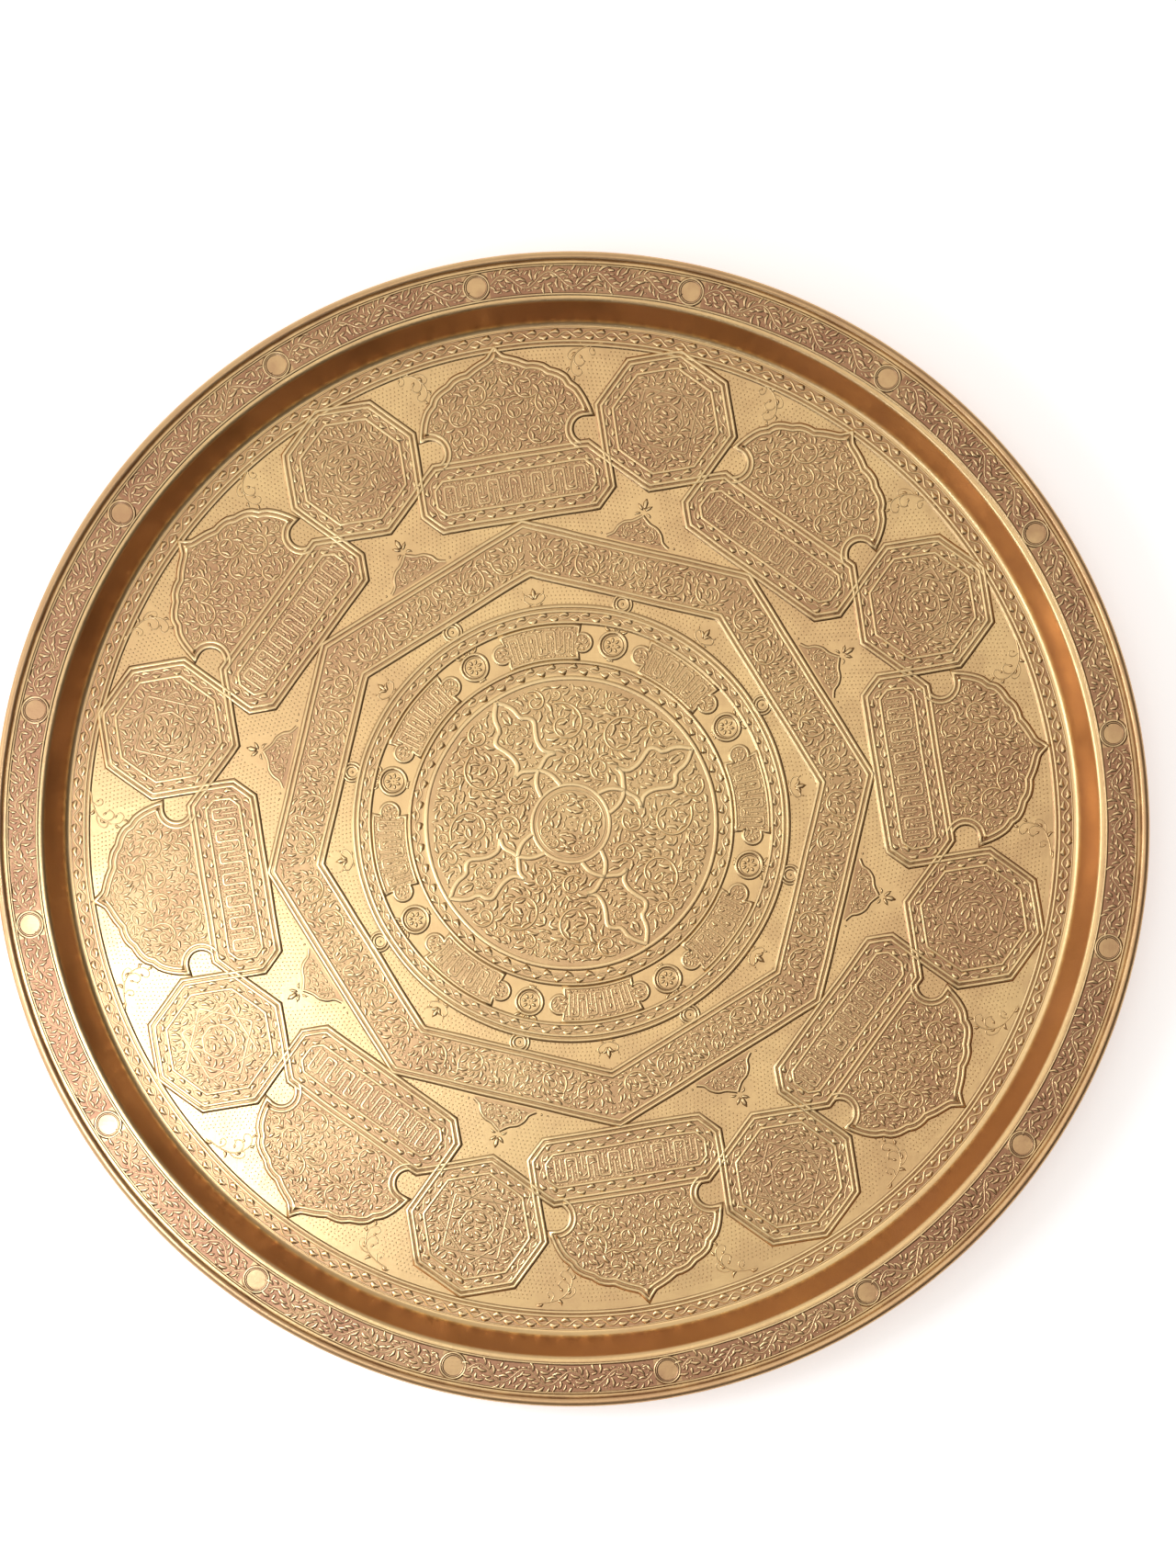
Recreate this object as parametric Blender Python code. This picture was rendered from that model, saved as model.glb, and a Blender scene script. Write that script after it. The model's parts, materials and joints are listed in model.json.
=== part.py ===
"""Round brass tray: one sheet, its edge rolled over a stiffening wire.

Metres, +Z up. The origin is the centre of the floor's underside, so the tray stands on z = 0.
"""
import math

import bmesh
import bpy

# Driving dimensions of the whole tray.
TRAY_DIAMETER = 0.600
WELL_DEPTH = 0.020

# The sheet and its bends.
SHEET_THICKNESS = 0.0010
RIM_WIDTH = 0.0235
WALL_ANGLE = math.radians(63.0)
LOWER_BEND_INSIDE = 0.0040
UPPER_BEND_INSIDE = 0.0020

# The wire in the rolled edge, and the gaps that are left around it.
WIRE_DIAMETER = 0.0020
WIRE_CLEARANCE = 0.00035
WIRE_BUTT_GAP = 0.0015
SEAM_GAP = 0.00035

# How finely round shapes are divided.
TURN_STEPS = 96
LOWER_BEND_STEPS = 4
UPPER_BEND_STEPS = 3
ROLL_STEPS = 10
WIRE_SIDES = 8
SHARP_ANGLE = math.radians(35.0)

QUARTER = math.radians(90.0)
FULL_TURN = math.radians(360.0)

# Places that follow from the sizes above.
OUTER_RADIUS = TRAY_DIAMETER / 2
FLANGE_TOP = SHEET_THICKNESS + WELL_DEPTH
FLANGE_START = OUTER_RADIUS - RIM_WIDTH
ROLL_INSIDE = WIRE_DIAMETER / 2 + WIRE_CLEARANCE
ROLL_OUTSIDE = ROLL_INSIDE + SHEET_THICKNESS
ROLL_CENTRE = (OUTER_RADIUS - ROLL_OUTSIDE, FLANGE_TOP + ROLL_INSIDE)


def clear_scene():
    for item in list(bpy.data.objects):
        bpy.data.objects.remove(item, do_unlink=True)


def brass(name, colour, roughness):
    material = bpy.data.materials.new(name)
    material.use_nodes = True
    shader = material.node_tree.nodes["Principled BSDF"]
    shader.inputs["Base Color"].default_value = (*colour, 1.0)
    shader.inputs["Roughness"].default_value = roughness
    shader.inputs["Metallic"].default_value = 1.0
    return material


def arc(centre, radius, start, end, steps):
    """Points (radius from the tray's axis, height) from one angle to the other, both ends included."""
    points = []
    for step in range(steps + 1):
        angle = start + (end - start) * step / steps
        points.append((centre[0] + radius * math.cos(angle), centre[1] + radius * math.sin(angle)))
    return points


def sheet_profile():
    """The sheet's section: out along the underside, round the roll, and back along the top."""
    lower_outside = LOWER_BEND_INSIDE + SHEET_THICKNESS
    upper_outside = UPPER_BEND_INSIDE + SHEET_THICKNESS
    bend_rise = (LOWER_BEND_INSIDE + upper_outside) * (1.0 - math.cos(WALL_ANGLE))
    bend_run = (LOWER_BEND_INSIDE + upper_outside) * math.sin(WALL_ANGLE)
    wall_run = (WELL_DEPTH - bend_rise) / math.tan(WALL_ANGLE)
    floor_radius = FLANGE_START - bend_run - wall_run

    lower_centre = (floor_radius, lower_outside)
    upper_centre = (FLANGE_START, FLANGE_TOP - upper_outside)
    wall_foot = WALL_ANGLE - QUARTER
    wall_head = WALL_ANGLE + QUARTER
    free_edge = math.pi + math.asin((ROLL_INSIDE - SEAM_GAP) / ROLL_OUTSIDE)

    profile = arc(lower_centre, lower_outside, -QUARTER, wall_foot, LOWER_BEND_STEPS)
    profile += arc(upper_centre, UPPER_BEND_INSIDE, wall_head, QUARTER, UPPER_BEND_STEPS)
    profile += arc(ROLL_CENTRE, ROLL_OUTSIDE, -QUARTER, free_edge, ROLL_STEPS)
    profile += arc(ROLL_CENTRE, ROLL_INSIDE, free_edge, -QUARTER, ROLL_STEPS)
    profile += arc(upper_centre, upper_outside, QUARTER, wall_head, UPPER_BEND_STEPS)
    profile += arc(lower_centre, LOWER_BEND_INSIDE, wall_foot, -QUARTER, LOWER_BEND_STEPS)
    return profile


def turned_body(name, profile, closed, start, sweep, material):
    """Spin a section about +Z and close what is open. A full turn joins its own ends."""
    shape = bmesh.new()
    ring = [shape.verts.new((radius * math.cos(start), radius * math.sin(start), height))
            for radius, height in profile]
    edges = [shape.edges.new(pair) for pair in zip(ring, ring[1:])]
    if closed:
        edges.append(shape.edges.new((ring[-1], ring[0])))
    bmesh.ops.spin(shape, geom=ring + edges, cent=(0, 0, 0), axis=(0, 0, 1), angle=sweep,
                   steps=TURN_STEPS, use_merge=math.isclose(sweep, FULL_TURN))
    bmesh.ops.holes_fill(shape, edges=shape.edges[:], sides=0)
    bmesh.ops.recalc_face_normals(shape, faces=shape.faces[:])

    mesh = bpy.data.meshes.new(name)
    shape.to_mesh(mesh)
    shape.free()
    mesh.shade_smooth()
    mesh.set_sharp_from_angle(angle=SHARP_ANGLE)
    mesh.materials.append(material)
    body = bpy.data.objects.new(name, mesh)
    bpy.context.scene.collection.objects.link(body)
    return body


def make_tray_sheet():
    turned_body("tray_sheet", sheet_profile(), False, 0.0, FULL_TURN,
                brass("tray_sheet_brass", (0.66, 0.49, 0.27), 0.34))


def make_rim_wire():
    """The wire's two ends meet with a small butt gap inside the rolled edge."""
    section = arc(ROLL_CENTRE, WIRE_DIAMETER / 2, 0.0, FULL_TURN, WIRE_SIDES)[:-1]
    half_gap = WIRE_BUTT_GAP / 2 / ROLL_CENTRE[0]
    turned_body("rim_wire", section, True, half_gap, FULL_TURN - 2 * half_gap,
                brass("rim_wire_brass", (0.55, 0.38, 0.19), 0.45))


clear_scene()
make_tray_sheet()
make_rim_wire()
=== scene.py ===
"""Round brass tray with chased ornament: a turned sheet, raised lines, scrolls, leaves and punched ground.

The patterns are drawn in millimetres on one panel each, with x along the rim and y outwards from
the middle of the pattern, and Geometry Nodes raise them from the metal and repeat them round the tray.
"""
import json
import math

import bpy
import numpy as np
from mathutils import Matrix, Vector

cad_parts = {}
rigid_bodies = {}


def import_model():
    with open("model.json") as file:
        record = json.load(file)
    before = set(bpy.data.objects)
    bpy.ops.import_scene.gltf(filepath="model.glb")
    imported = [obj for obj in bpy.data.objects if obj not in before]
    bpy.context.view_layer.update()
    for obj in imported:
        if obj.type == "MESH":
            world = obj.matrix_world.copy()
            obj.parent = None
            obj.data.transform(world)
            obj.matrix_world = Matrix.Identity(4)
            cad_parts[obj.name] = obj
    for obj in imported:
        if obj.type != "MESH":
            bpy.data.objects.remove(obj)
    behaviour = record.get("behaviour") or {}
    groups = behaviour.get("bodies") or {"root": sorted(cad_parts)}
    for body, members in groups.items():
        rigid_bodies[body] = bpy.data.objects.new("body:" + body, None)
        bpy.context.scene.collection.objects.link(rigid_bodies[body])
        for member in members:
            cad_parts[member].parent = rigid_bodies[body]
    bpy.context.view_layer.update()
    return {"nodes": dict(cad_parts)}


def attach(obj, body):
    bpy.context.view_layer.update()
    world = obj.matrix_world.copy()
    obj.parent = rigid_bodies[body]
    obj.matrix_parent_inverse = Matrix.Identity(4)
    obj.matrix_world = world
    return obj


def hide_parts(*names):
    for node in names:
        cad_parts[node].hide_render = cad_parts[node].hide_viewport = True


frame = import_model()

MM = 0.001
TAU = math.tau
EIGHTH = math.radians(45.0)
SLOPE = math.tan(EIGHTH / 2)

# Sizes of the sheet, the same as the model's.
RIM = 300.0
SHEET = 1.0
FLOOR_TOP = 1.0
FLANGE_TOP = 21.0
FLANGE_START = 276.5
WALL_ANGLE = math.radians(63.0)
LOWER_BEND = 4.0
UPPER_BEND = 2.0
ROLL_INSIDE = 1.35
SEAM_GAP = 0.35

# The ornament was laid out by hand, a little off the middle of the rim.
PATTERN_CENTRE = (-0.4, 2.7)
RIM_CENTRE = (0.0, 0.0)
DOME_TURN = math.radians(9.3)
OCTAGON_TURN = math.radians(31.8)
ROUNDEL_TURN = math.radians(10.0)

# Places on the panels, the feet of raised work, which stand below the metal's surface, and the
# fineness of the grid on which the leaves are fitted together.
OCTAGON_CENTRE = (0.0, 216.3)
OCTAGON_SIZE = 33.3
RING_RADIUS = 95.0
FLANGE_RADIUS = 285.6
LINE_FOOT = -0.27
PLATE_FOOT = -0.25
PLATE_TOP = 0.10
GRID = 0.3

# The circle the sheet's section is turned along, and how deep the hammering is.
PATH_RADIUS = 0.15
BEATEN_DEPTH = 0.12 * MM

# Styles of raised line, and shapes of raised leaf.
STEM, DOUBLE, SINGLE, STRAP, PLATE = 1, 2, 3, 4, 5
LEAF, LEAF_BACK, PETAL, LUMP, DOT = 0, 1, 2, 3, 4


class Socket:
    """A node's output that can be used in sums."""

    def __init__(self, graph, socket):
        self.graph = graph
        self.socket = socket

    def out(self, name):
        return Socket(self.graph, find(self.socket.node.outputs, name))

    def sum(self, operation, *values):
        return self.graph.node("ShaderNodeMath", dict(enumerate(values)), operation=operation)


for sign, operation in (
    ("add", "ADD"), ("sub", "SUBTRACT"), ("mul", "MULTIPLY"), ("truediv", "DIVIDE"),
):
    setattr(Socket, f"__{sign}__", lambda one, two, name=operation: one.sum(name, one, two))
    setattr(Socket, f"__r{sign}__", lambda one, two, name=operation: one.sum(name, two, one))
Socket.__lt__ = lambda one, two: one.sum("LESS_THAN", one, two)
Socket.__gt__ = lambda one, two: one.sum("GREATER_THAN", one, two)


def find(sockets, name):
    """The socket in use that has this name or number."""
    if isinstance(name, int):
        return sockets[name]
    return next((socket for socket in sockets if socket.name == name and socket.enabled), sockets[name])


class Graph:
    """Makes and joins the nodes of one tree."""

    def __init__(self, tree):
        self.tree = tree

    def node(self, kind, values=(), **settings):
        """One node: its settings are made first, then its sockets' values or links."""
        made = self.tree.nodes.new(kind)
        for key, value in settings.items():
            setattr(made, key, value)
        for name, value in dict(values).items():
            for each in value if isinstance(value, list) else [value]:
                self.feed(each, find(made.inputs, name))
        shown = [socket for socket in made.outputs if socket.enabled]
        return Socket(self, shown[0]) if shown else made

    def feed(self, value, socket):
        if isinstance(value, Socket):
            self.tree.links.new(value.socket, socket)
        else:
            socket.default_value = value

    def vector(self, operation, *values, **more):
        return self.node("ShaderNodeVectorMath", {**dict(enumerate(values)), **more}, operation=operation)

    def combine(self, **parts):
        return self.node("ShaderNodeCombineXYZ", parts)

    def part(self, axis, vector):
        return self.node("ShaderNodeSeparateXYZ", {0: vector}).out(axis)

    def here(self):
        return self.node("GeometryNodeInputPosition")

    def own(self, name, kind="FLOAT"):
        """A named attribute of the mesh."""
        return self.node("GeometryNodeInputNamedAttribute", {"Name": name}, data_type=kind)

    def is_style(self, style):
        drawn = self.own("style", "INT")
        return drawn.sum("COMPARE", drawn, style, 0.1)

    def noise(self, vector, scale, detail, roughness=0.5):
        return self.node("ShaderNodeTexNoise", {
            "Vector": vector, "Scale": scale, "Detail": detail, "Roughness": roughness})

    def ease(self, value, low, high):
        return self.node("ShaderNodeMapRange", {
            "Value": value, "From Min": low, "From Max": high}, interpolation_type="SMOOTHSTEP")

    def between(self, value, start, full, fade, end):
        """1 from full to fade, and nothing before start and after end."""
        return self.ease(value, start, full) * (1.0 - self.ease(value, fade, end))

    def mix(self, amount, one, two):
        return self.node("ShaderNodeMix", {"Factor": amount, "A": one, "B": two}, data_type="RGBA")


# --- drawing on one panel -------------------------------------------------------------------------

def through(points, step=1.2):
    """A smooth path through the points, with a point about every step."""
    last = len(points) - 1
    path = []
    for i in range(last):
        near = [points[min(max(i + k, 0), last)] for k in (-1, 0, 1, 2)]
        steps = max(1, round(math.dist(near[1], near[2]) / step))
        for j in range(steps):
            t = j / steps
            path.append(tuple(
                0.5 * (2 * q + (r - p) * t + (2 * p - 5 * q + 4 * r - s) * t * t
                       + (3 * q - p - 3 * r + s) * t ** 3)
                for p, q, r, s in zip(*near)
            ))
    return path + [points[-1]]


def straight(points, step=2.5, closed=False):
    """The straight runs between the points, divided about every step."""
    path = []
    for a, b in zip(points, points[1:] + points[:1] if closed else points[1:]):
        steps = max(1, round(math.dist(a, b) / step))
        path += [tuple(p + (q - p) * j / steps for p, q in zip(a, b)) for j in range(steps)]
    return path if closed else path + [points[-1]]


def spot(radius, angle, centre=(0.0, 0.0)):
    return centre[0] + radius * math.cos(angle), centre[1] + radius * math.sin(angle)


def bearing(radius, angle, centre=(0.0, 0.0)):
    """The spot at an angle clockwise from straight outwards."""
    return centre[0] + radius * math.sin(angle), centre[1] + radius * math.cos(angle)


def ring(radius, centre=(0.0, 0.0), steps=None):
    steps = steps or max(12, round(TAU * radius / 1.6))
    return [spot(radius, TAU * i / steps, centre) for i in range(steps)]


def arc(radius, first, last, centre=(0.0, 0.0), step=2.0):
    steps = max(2, round(abs(last - first) * radius / step))
    return [spot(radius, first + (last - first) * i / steps, centre) for i in range(steps + 1)]


def flipped(points):
    return [(-x, y) for x, y in points]


def whole(side):
    """The outline whose right side, from its tip down, is given."""
    return side[::-1] + flipped(side)[1:]


def octagon(apothem, centre=(0.0, 0.0)):
    """A regular octagon with a corner straight outwards."""
    return [bearing(apothem / math.cos(EIGHTH / 2), EIGHTH * i, centre) for i in range(8)]


def inside(outline, xs, ys):
    """Which spots lie inside the outline."""
    found = np.zeros(xs.shape, bool)
    for (ax, ay), (bx, by) in zip(outline, outline[1:] + outline[:1]):
        if ay != by:
            found ^= ((ay > ys) != (by > ys)) & (xs < (bx - ax) * (ys - ay) / (by - ay) + ax)
    return found


def away_from(path, xs, ys):
    """How far each spot is from the path."""
    nearest = np.full(xs.shape, 1e9)
    for (ax, ay), (bx, by) in zip(path, path[1:]):
        run = (bx - ax) ** 2 + (by - ay) ** 2 + 1e-12
        t = np.clip(((xs - ax) * (bx - ax) + (ys - ay) * (by - ay)) / run, 0, 1)
        nearest = np.minimum(nearest, np.hypot(xs - ax - t * (bx - ax), ys - ay - t * (by - ay)))
    return nearest


class Pattern:
    """The lines, leaves and ground plates of one repeated panel, in millimetres."""

    def __init__(self):
        self.points, self.marks, self.edges, self.faces = [], [], [], []

    def add(self, x, y, z=0.0, style=0, shape=-1, turn=0.0, size=1.0, slim=1.0):
        self.points.append((x, y, z))
        self.marks.append((style, shape, turn, size, slim))
        return len(self.points) - 1

    def line(self, path, style=STEM, closed=False, width=1.0, end_width=None):
        count = len(path)
        first = len(self.points)
        for i, (x, y) in enumerate(path):
            before = path[i - 1] if i or closed else path[i]
            after = path[(i + 1) % count] if i < count - 1 or closed else path[i]
            bend = 0.0
            if path[i] not in (before, after):
                bend = math.atan2(after[1] - y, after[0] - x) - math.atan2(y - before[1], x - before[0])
                bend = (bend + math.pi) % TAU - math.pi
            mitre = 1 / max(math.cos(bend / 2), 0.62)
            wide = width if end_width is None else width + (end_width - width) * (i / max(count - 1, 1))
            self.add(x, y, style=style, size=wide * mitre)
        self.edges += [(first + i, first + (i + 1) % count) for i in range(count if closed else count - 1)]

    def leaf(self, x, y, turn, size, shape=LEAF, slim=1.0):
        self.add(x, y, shape=shape, turn=turn, size=size, slim=slim)

    def plate(self, outline):
        """A thin closed plate of ground under the ornament."""
        area = sum(a[0] * b[1] - b[0] * a[1] for a, b in zip(outline, outline[1:] + outline[:1]))
        outline = outline if area > 0 else outline[::-1]
        upper = [self.add(x, y, PLATE_TOP, style=PLATE) for x, y in outline]
        lower = [self.add(x, y, PLATE_FOOT, style=PLATE) for x, y in outline]
        count = len(outline)
        self.faces.append(tuple(upper))
        self.faces.append(tuple(lower[::-1]))
        for i in range(count):
            j = (i + 1) % count
            self.faces.append((lower[i], lower[j], upper[j], upper[i]))

    def both_sides(self):
        """Adds the same again, mirrored across the panel's middle line."""
        other = {LEAF: LEAF_BACK, LEAF_BACK: LEAF}
        mirrored = Pattern()
        for (x, y, z), (style, shape, turn, size, slim) in zip(self.points, self.marks):
            mirrored.add(-x, y, z, style, other.get(shape, shape), math.pi - turn, size, slim)
        mirrored.edges = self.edges
        mirrored.faces = [face[::-1] for face in self.faces]
        return self.join(mirrored)

    def moved(self, change):
        """Each point and its turn through change(x, y, turn)."""
        for i, ((x, y, z), (style, shape, turn, size, slim)) in enumerate(zip(self.points, self.marks)):
            x, y, turn = change(x, y, turn)
            self.points[i] = (x, y, z)
            self.marks[i] = (style, shape, turn, size, slim)
        return self

    def join(self, other):
        first = len(self.points)
        self.points += other.points
        self.marks += other.marks
        self.edges += [(a + first, b + first) for a, b in other.edges]
        self.faces += [tuple(i + first for i in face) for face in other.faces]
        return self

    def mesh(self, name):
        mesh = bpy.data.meshes.new(name)
        mesh.from_pydata([(x * MM, y * MM, z * MM) for x, y, z in self.points], self.edges, self.faces)
        columns = list(zip(*self.marks))
        for label, kind, column in zip(
            ("style", "shape", "turn", "size", "slim"), ("INT", "INT", "FLOAT", "FLOAT", "FLOAT"), columns
        ):
            mesh.attributes.new(label, kind, "POINT").data.foreach_set("value", column)
        return mesh


class Ground:
    """One panel's ground, which knows how much room is left on it."""

    def __init__(self, outline, margin):
        self.low = [min(values) for values in zip(*outline)]
        columns, rows = (np.arange(min(values), max(values), GRID) for values in zip(*outline))
        self.x, self.y = np.meshgrid(columns, rows)
        from_edge = away_from(outline + outline[:1], self.x, self.y)
        self.room = np.where(inside(outline, self.x, self.y), from_edge - margin, -1.0)
        self.free = self.room > 0.0

    def take(self, path, half_width):
        gap = away_from(path, self.x, self.y) - half_width
        self.room = np.minimum(self.room, gap)
        self.free &= gap > 0

    def places(self, sizes, chance):
        """Round places of the given sizes, packed against the edge and each other."""
        room = self.room.copy()
        found = []
        for size in sizes:
            while (room >= size).any():
                spots = np.argwhere(room >= size)
                tight = room[spots[:, 0], spots[:, 1]] + 0.4 * chance.random(len(spots))
                row, column = spots[tight.argmin()]
                x, y = self.x[row, column], self.y[row, column]
                found.append((float(x), float(y), size))
                room = np.minimum(room, np.hypot(self.x - x, self.y - y) - size - 0.5)
        return found

    def window(self, x, y, reach):
        """The rows and columns about a spot."""
        column, row = (x - self.low[0]) / GRID, (y - self.low[1]) / GRID
        size = reach / GRID + 1
        return tuple(slice(max(0, int(at - size)), max(0, int(at + size) + 1)) for at in (row, column))

    def leaf_fits(self, x, y, turn, size, slim, share):
        """Takes the ground under a leaf, if enough of it is free."""
        cx, cy = spot(0.5 * size, turn, (x, y))
        rows, columns = self.window(cx, cy, 0.6 * size)
        px, py = self.x[rows, columns] - cx, self.y[rows, columns] - cy
        if not px.size:
            return False
        along = (px * math.cos(turn) + py * math.sin(turn)) / (0.5 * size)
        across = (py * math.cos(turn) - px * math.sin(turn)) / (0.27 * size * slim)
        under = along ** 2 + across ** 2 < 1.0
        total = under.sum()
        free = self.free[rows, columns]
        if total < 3 or (under & free).sum() < share * total:
            return False
        free &= ~under
        return True


def scroll(pattern, ground, x, y, size, start, hand, chance, bold=1.0):
    """One spiral stem with leaves along it and a small flower at its heart."""
    turns = 1.2 if size > 4 else 0.85
    steps = max(10, round(turns * TAU * size * 0.60 / 1.0))
    path = []
    for i in range(steps + 1):
        t = i / steps
        path.append(spot(size * (1.0 - 0.80 * t ** 0.85), start + hand * turns * TAU * t, (x, y)))
    wide = bold * (1.05 if size > 5 else 0.9)
    pattern.line(path, STEM, width=wide, end_width=wide * 0.75)
    ground.take(path, 0.45 * wide)
    for i in range(2, steps - 1, 2):
        side = hand if i % 4 else -hand
        turn = heading(path, i) + side * chance.uniform(0.7, 1.1)
        length = bold * (chance.uniform(2.8, 4.2) if size < 5 else chance.uniform(3.6, 5.4))
        foot = spot(0.5, turn, path[i])
        if ground.leaf_fits(*foot, turn, length, 0.9, 0.66):
            pattern.leaf(*foot, turn, length, LEAF_BACK if side > 0 else LEAF)
    for k in range(5):
        turn = start + TAU * k / 5
        foot = spot(0.3, turn, path[-1])
        if ground.leaf_fits(*foot, turn, 1.6, 1.1, 0.4):
            pattern.leaf(*foot, turn, 1.7, PETAL, 1.2)
    pattern.leaf(*path[-1], 0.0, 1.0, LUMP)


def heading(path, i):
    (ax, ay), (bx, by) = path[i - 1], path[i + 1]
    return math.atan2(by - ay, bx - ax)


def nearest_place(found, x, y):
    return min(found, key=lambda place: math.dist(place[:2], (x, y)) - place[2])


def fill(pattern, outline, seed, sizes=(), taken=(), margin=0.7, bold=1.0):
    """Covers a panel with scrolls, then with leaves, then with small lumps."""
    chance = np.random.default_rng(seed)
    ground = Ground(outline, margin)
    for path, half_width in taken:
        ground.take(path, half_width)
    found = ground.places(sizes, chance)
    for i, (x, y, size) in enumerate(found):
        others = [other for other in found if other is not found[i]]
        near = nearest_place(others, x, y) if others else (x, y + 1, 1)
        start = math.atan2(near[1] - y, near[0] - x)
        scroll(pattern, ground, x, y, size, start, 1 if i % 2 else -1, chance, bold)
    scatter(pattern, ground, chance, found, bold)


def scatter(pattern, ground, chance, hearts=(), bold=1.0):
    """Leaves and lumps in what ground is left."""
    for pitch, low, high, share in ((1.5, 3.4, 5.0, 0.80), (1.4, 2.2, 3.2, 0.78), (1.3, 1.4, 2.0, 0.72)):
        spots = np.argwhere(ground.free)
        chance.shuffle(spots)
        for row, column in spots[: int(len(spots) * (GRID / pitch) ** 2 * 2.2)]:
            if not ground.free[row, column]:
                continue
            x, y = float(ground.x[row, column]), float(ground.y[row, column])
            if hearts:
                near = nearest_place(hearts, x, y)
                base = math.atan2(y - near[1], x - near[0]) + chance.choice((0.9, -0.9))
            else:
                base = chance.uniform(0, TAU)
            size = chance.uniform(low, high) * bold
            for turn in (base, base + 1.6, base + 3.1, base + 4.7):
                foot = spot(-0.45 * size, turn, (x, y))
                if ground.leaf_fits(*foot, turn, size, 0.9, share):
                    shape = (LEAF, LEAF_BACK, PETAL)[int(chance.integers(3))] if size > 1.4 else LUMP
                    if shape == LUMP:
                        pattern.leaf(x, y, turn, size * 0.7, LUMP)
                    else:
                        pattern.leaf(*foot, turn, size * 1.04, shape)
                    break


def chain(pattern, path, width, pitch):
    """A border vine round a closed path: a wavy stem with a leaf and a bead in every bay."""
    ends = path + path[:1]
    lengths = [0.0]
    for a, b in zip(ends, ends[1:]):
        lengths.append(lengths[-1] + math.dist(a, b))
    bays = 2 * max(1, round(lengths[-1] / pitch / 2))
    steps = 6 * bays
    spots = []
    k = 0
    for i in range(steps):
        want = lengths[-1] * i / steps
        while lengths[k + 1] < want:
            k += 1
        share = (want - lengths[k]) / max(lengths[k + 1] - lengths[k], 1e-9)
        (ax, ay), (bx, by) = ends[k], ends[k + 1]
        along = math.atan2(by - ay, bx - ax)
        spots.append((ax + (bx - ax) * share, ay + (by - ay) * share, along))

    def beside(i, off):
        x, y, along = spots[i % steps]
        return x - off * math.sin(along), y + off * math.cos(along)

    stem = [beside(i, 0.30 * width * math.sin(math.pi * i / 6)) for i in range(steps)]
    pattern.line(stem, STEM, True, width=0.22 * width)
    for bay in range(bays):
        hand = -1 if bay % 2 else 1
        along = spots[(6 * bay + 2) % steps][2]
        x, y = beside(6 * bay, -0.06 * width * hand)
        pattern.leaf(x, y, along - 0.42 * hand, 0.98 * pitch, LEAF if hand > 0 else LEAF_BACK, 1.75)
        x, y = beside(6 * bay + 5, -0.36 * width * hand)
        pattern.leaf(x, y, along, 0.20 * width, LUMP)


# --- the panels -----------------------------------------------------------------------------------

def dome_side():
    """The right side of a dome's outline, from its tip down to the bar."""
    lobes = (
        [(0, 250.5), (3, 246.5), (8, 244.2), (12, 242.3), (16, 239.8)],
        [(16, 239.8), (19, 239.6), (23.5, 238), (26.5, 235.3)],
        [(26.5, 235.3), (31, 233.2), (34.5, 230.2), (35.8, 227)],
        [(35.8, 227), (39, 224), (41.5, 219), (43, 214), (43.7, 210.9)],
    )
    path = []
    for lobe in lobes:
        path += through(lobe, 2.0)[:-1]
    return path + arc(9.0, math.radians(72), math.radians(241), (41.0, 202.4), 1.8)


def bar_outline(inset):
    wide, low, high, cut = 49.5 - inset, 162.1 + inset, 194.7 - inset, 8.8 - 0.586 * inset
    return [
        (wide - cut, high), (wide, high - cut), (wide, low + cut), (wide - cut, low),
        (cut - wide, low), (-wide, low + cut), (-wide, high - cut), (cut - wide, high),
    ]


def running_key(lines, reach, low, high, strokes, count, thick, thin, corner, step):
    """Upright bars joined above and below in turn, with a short stroke in every gap between them."""
    key = [(-reach, low)]
    for i in range(count + 1):
        x = -reach + 2 * reach * i / count
        y = low if i % 2 else high
        key += [(x, y), (x + 2 * reach / count, y)]
    key.pop()
    lines.line(straight(rounded(key, corner), step), STRAP, width=thick)
    bars = [key]
    for i in range(count):
        x = -reach + 2 * reach * (i + 0.5) / count
        bars.append([(x, y) for y in strokes[i % 2]])
        lines.line(straight(bars[-1], 3.0), STRAP, width=thin)
    return bars


def rounded(points, radius=0.7, closed=False):
    """The same corners, each eased by two short steps."""
    path = []
    count = len(points)
    for i, point in enumerate(points):
        if not closed and i in (0, count - 1):
            path.append(point)
            continue
        for other in (points[i - 1], points[(i + 1) % count]):
            reach = min(radius / max(math.dist(point, other), 1e-6), 0.45)
            path.append(tuple(p + (q - p) * reach for p, q in zip(point, other)))
    return path


def dome_panels():
    lines, scrolls, plates = Pattern(), Pattern(), Pattern()
    side = dome_side()
    lines.line(whole(side), DOUBLE)
    plates.plate(whole(side))
    half = [(-2.1, 194.7)] + side[::-1][1:-1] + [(-2.1, 250.5)]
    fill(scrolls, half, 11, (7.6, 6.2, 4.8, 3.4), margin=2.2, bold=1.25)
    return lines, scrolls.both_sides(), plates


def bar_panels():
    lines, scrolls, plates = Pattern(), Pattern(), Pattern()
    lines.line(straight(bar_outline(0.0), 4.0, True), DOUBLE, True)
    lines.line(straight(bar_outline(7.5), 4.0, True), SINGLE, True)
    chain(lines, straight(bar_outline(4.6), 2.0, True), 3.8, 5.4)
    strokes = ((179.4, 172.2), (177.4, 184.6))
    bars = running_key(lines, 37.4, 172.6, 184.2, strokes, 13, 0.44, 0.40, 0.8, 3.0)
    plates.plate(bar_outline(0.3))
    fill(scrolls, bar_outline(8.0), 23, taken=[(bar, 0.75) for bar in bars], margin=0.4)
    return lines, scrolls, plates


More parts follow.
